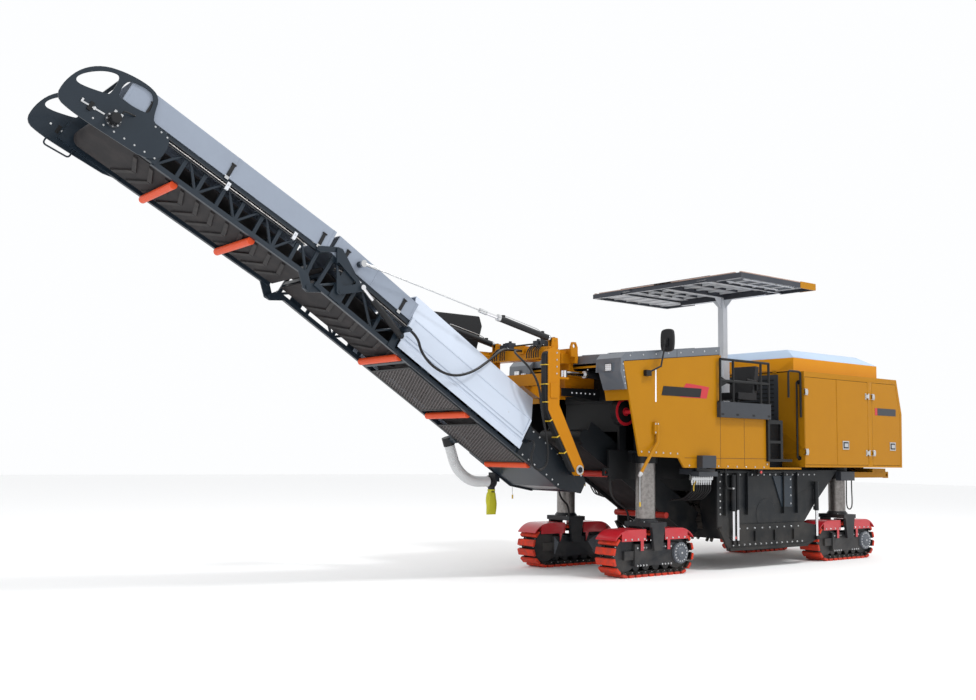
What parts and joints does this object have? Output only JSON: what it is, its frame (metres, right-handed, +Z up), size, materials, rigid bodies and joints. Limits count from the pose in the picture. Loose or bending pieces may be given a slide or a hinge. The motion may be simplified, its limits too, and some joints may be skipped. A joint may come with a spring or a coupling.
{
  "type": "cold planer",
  "caption": "Self-propelled road milling machine on four steered crawler units, with a folding front discharge conveyor, a canopy over the platform and a hinged rear engine module.",
  "frame": {"origin": "on the ground, under the middle of the bounding box", "axes": "+X towards the discharge conveyor's tip, +Y to the machine's left, +Z up"},
  "size_m": [14.1729, 3.096, 5.5793],
  "materials": {
    "yellow_paint": "satin",
    "orange_paint": "satin",
    "grey_paint": "satin",
    "pale_grey_paint": "satin",
    "graphite_paint": "satin",
    "slate_paint": "satin",
    "crimson_paint": "satin",
    "bracket_orange": "satin",
    "shoe_red": "matte",
    "drum_steel": "matte",
    "polished_steel": "polished",
    "belt_rubber": "matte",
    "hose_rubber": "matte",
    "black_mesh": "matte",
    "cover_sheet": "satin",
    "cover_white": "matte",
    "black_plastic": "matte",
    "mirror_black": "polished",
    "duct_fabric": "matte",
    "bag_cloth": "matte"
  },
  "bodies": {
    "chassis": {"main_frame": "graphite_paint", "drum_housing": "graphite_paint", "primary_conveyor": "graphite_paint", "front_body": "yellow_paint", "front_cap": "grey_paint", "platform_rails": "grey_paint", "operator_stations": "black_plastic", "access_ladders": "black_mesh", "canopy_mast": "grey_paint", "module_shell": "orange_paint", "engine_block": "drum_steel", "slew_mount": "bracket_orange", "mirrors": "mirror_black", "control_boxes": "grey_paint", "rear_hose": "hose_rubber", "hose_reel": "crimson_paint"},
    "front_left_unit": {"front_left_track_loop": "shoe_red", "front_left_crawler": "crimson_paint", "left_track_hose": "hose_rubber"},
    "front_right_unit": {"front_right_track_loop": "shoe_red", "front_right_crawler": "crimson_paint", "right_track_hose": "hose_rubber"},
    "rear_left_unit": {"rear_left_track_loop": "shoe_red", "rear_left_crawler": "crimson_paint"},
    "rear_right_unit": {"rear_right_track_loop": "shoe_red", "rear_right_crawler": "crimson_paint"},
    "drum": {"milling_drum": "drum_steel"},
    "left_side_plate_body": {"left_side_plate": "graphite_paint"},
    "right_side_plate_body": {"right_side_plate": "graphite_paint"},
    "scraper": {"scraper_gate": "graphite_paint"},
    "canopy_body": {"canopy": "pale_grey_paint"},
    "left_front_door": {"left_door_front": "orange_paint"},
    "left_middle_door": {"left_door_middle": "orange_paint"},
    "left_rear_door": {"left_door_rear": "orange_paint"},
    "right_front_door": {"right_door_front": "orange_paint"},
    "right_middle_door": {"right_door_middle": "orange_paint"},
    "right_rear_door": {"right_door_rear": "orange_paint"},
    "hood": {"engine_hood": "pale_grey_paint"},
    "bracket": {"slew_bracket": "bracket_orange", "feed_hose": "hose_rubber", "bracket_hose": "hose_rubber", "suction_hood": "black_plastic"},
    "left_slew_barrel_body": {"left_slew_barrel": "graphite_paint"},
    "left_slew_rod_body": {"left_slew_rod": "polished_steel"},
    "right_slew_barrel_body": {"right_slew_barrel": "graphite_paint"},
    "right_slew_rod_body": {"right_slew_rod": "polished_steel"},
    "lower_conveyor": {"lower_truss": "slate_paint", "lower_belt": "belt_rubber", "belt_guards": "black_mesh", "lower_cover": "cover_white", "dust_duct": "duct_fabric", "dust_bag": "bag_cloth"},
    "struts": {"strut_barrels": "graphite_paint"},
    "strut_rod_body": {"strut_rods": "polished_steel"},
    "upper_conveyor": {"upper_truss": "slate_paint", "upper_belt": "belt_rubber", "upper_cover": "cover_sheet"},
    "cranks": {"fold_cranks": "graphite_paint"},
    "fold_barrel_body": {"fold_barrels": "graphite_paint"},
    "fold_rod_body": {"fold_rods": "polished_steel"}
  },
  "joints": [
    {"name": "front_left_steer", "type": "hinge", "parent": "chassis", "child": "front_left_unit", "pos_m": [-1.09148, 0.825, 1.3], "axis": [0, 0, 1], "range_deg": [-20, 20]},
    {"name": "front_right_steer", "type": "hinge", "parent": "chassis", "child": "front_right_unit", "pos_m": [-1.09148, -0.825, 1.3], "axis": [0, 0, 1], "range_deg": [-20, 20]},
    {"name": "rear_left_steer", "type": "hinge", "parent": "chassis", "child": "rear_left_unit", "pos_m": [-5.74148, 0.825, 1.3], "axis": [0, 0, 1], "range_deg": [-20, 20]},
    {"name": "rear_right_steer", "type": "hinge", "parent": "chassis", "child": "rear_right_unit", "pos_m": [-5.74148, -0.825, 1.3], "axis": [0, 0, 1], "range_deg": [-20, 20]},
    {"name": "drum_spin", "type": "hinge", "parent": "chassis", "child": "drum", "pos_m": [-3.54648, 0, 0.8], "axis": [0, 1, 0], "continuous": true},
    {"name": "left_side_plate_lift", "type": "slide", "parent": "chassis", "child": "left_side_plate_body", "axis": [0, 0, 1], "range_m": [-0.24, 0.1]},
    {"name": "right_side_plate_lift", "type": "slide", "parent": "chassis", "child": "right_side_plate_body", "axis": [0, 0, 1], "range_m": [-0.24, 0.1]},
    {"name": "scraper_open", "type": "hinge", "parent": "chassis", "child": "scraper", "pos_m": [-4.43648, 0, 1.14], "axis": [0, 1, 0], "range_deg": [0, 28]},
    {"name": "canopy_lower", "type": "slide", "parent": "chassis", "child": "canopy_body", "axis": [0, 0, 1], "range_m": [-0.8, 0]},
    {"name": "left_front_door_open", "type": "hinge", "parent": "chassis", "child": "left_front_door", "pos_m": [-4.28648, 1.27, 2.25], "axis": [0, 0, -1], "range_deg": [0, 110]},
    {"name": "left_middle_door_open", "type": "hinge", "parent": "chassis", "child": "left_middle_door", "pos_m": [-6.03648, 1.27, 2.25], "axis": [0, 0, 1], "range_deg": [0, 90]},
    {"name": "left_rear_door_open", "type": "hinge", "parent": "chassis", "child": "left_rear_door", "pos_m": [-6.17348, 1.27, 2.25], "axis": [0, 0, -1], "range_deg": [0, 90]},
    {"name": "right_front_door_open", "type": "hinge", "parent": "chassis", "child": "right_front_door", "pos_m": [-4.28648, -1.27, 2.25], "axis": [0, 0, 1], "range_deg": [0, 110]},
    {"name": "right_middle_door_open", "type": "hinge", "parent": "chassis", "child": "right_middle_door", "pos_m": [-6.03648, -1.27, 2.25], "axis": [0, 0, -1], "range_deg": [0, 90]},
    {"name": "right_rear_door_open", "type": "hinge", "parent": "chassis", "child": "right_rear_door", "pos_m": [-6.17348, -1.27, 2.25], "axis": [0, 0, 1], "range_deg": [0, 90]},
    {"name": "hood_open", "type": "hinge", "parent": "chassis", "child": "hood", "pos_m": [-4.25648, 0, 3.058], "axis": [0, 1, 0], "range_deg": [0, 50]},
    {"name": "slew", "type": "hinge", "parent": "chassis", "child": "bracket", "pos_m": [-0.06648, 0, 2], "axis": [0, 0, 1], "range_deg": [-45, 45]},
    {"name": "left_slew_barrel_swing", "type": "hinge", "parent": "chassis", "child": "left_slew_barrel_body", "pos_m": [-1.11648, 0.43, 2.79], "axis": [0, 0, 1], "range_deg": [-6.2, 6.2]},
    {"name": "left_slew_rod_slide", "type": "slide", "parent": "left_slew_barrel_body", "child": "left_slew_rod_body", "axis": [1, 0, 0], "range_m": [-0.325, 0.325]},
    {"name": "right_slew_barrel_swing", "type": "hinge", "parent": "chassis", "child": "right_slew_barrel_body", "pos_m": [-1.11648, -0.43, 2.79], "axis": [0, 0, 1], "range_deg": [-6.2, 6.2]},
    {"name": "right_slew_rod_slide", "type": "slide", "parent": "right_slew_barrel_body", "child": "right_slew_rod_body", "axis": [1, 0, 0], "range_m": [-0.325, 0.325]},
    {"name": "lift", "type": "hinge", "parent": "bracket", "child": "lower_conveyor", "pos_m": [0.05352, 0, 1.46], "axis": [0, -1, 0], "range_deg": [-20, 5]},
    {"name": "strut_swing", "type": "hinge", "parent": "bracket", "child": "struts", "pos_m": [0.48352, 0, 3.21], "axis": [0, -1, 0], "range_deg": [-23.2, 6]},
    {"name": "strut_rod_slide", "type": "slide", "parent": "struts", "child": "strut_rod_body", "axis": [0.9757, 0, 0.219], "range_m": [-0.16, 0.6]},
    {"name": "fold", "type": "hinge", "parent": "lower_conveyor", "child": "upper_conveyor", "pos_m": [4.19857, 0, 3.55226], "axis": [0, 1, 0], "range_deg": [0, 105]},
    {"name": "crank_swing", "type": "hinge", "parent": "lower_conveyor", "child": "cranks", "pos_m": [3.78052, 0, 3.54], "axis": [0, 1, 0], "range_deg": [0, 95]},
    {"name": "fold_barrel_swing", "type": "hinge", "parent": "lower_conveyor", "child": "fold_barrel_body", "pos_m": [2.94852, 0, 3.075], "axis": [0, 1, 0], "range_deg": [0, 5]},
    {"name": "fold_rod_slide", "type": "slide", "parent": "fold_barrel_body", "child": "fold_rod_body", "axis": [0.7171, 0, 0.697], "range_m": [0, 0.43]}
  ],
  "couplings": [
    {"joint": "front_right_steer", "follows": "front_left_steer", "ratio": 1},
    {"joint": "rear_right_steer", "follows": "rear_left_steer", "ratio": 1},
    {"joint": "left_slew_barrel_swing", "follows": "slew", "ratio": 0.135},
    {"joint": "left_slew_rod_slide", "follows": "slew", "m_per_rad": -0.41},
    {"joint": "right_slew_barrel_swing", "follows": "slew", "ratio": 0.135},
    {"joint": "right_slew_rod_slide", "follows": "slew", "m_per_rad": 0.41},
    {"joint": "strut_swing", "follows": "lift", "ratio": 1.15},
    {"joint": "strut_rod_slide", "follows": "lift", "m_per_rad": -1.7},
    {"joint": "crank_swing", "follows": "fold", "ratio": 0.9},
    {"joint": "fold_barrel_swing", "follows": "fold", "ratio": 0.04},
    {"joint": "fold_rod_slide", "follows": "fold", "m_per_rad": 0.229}
  ]
}
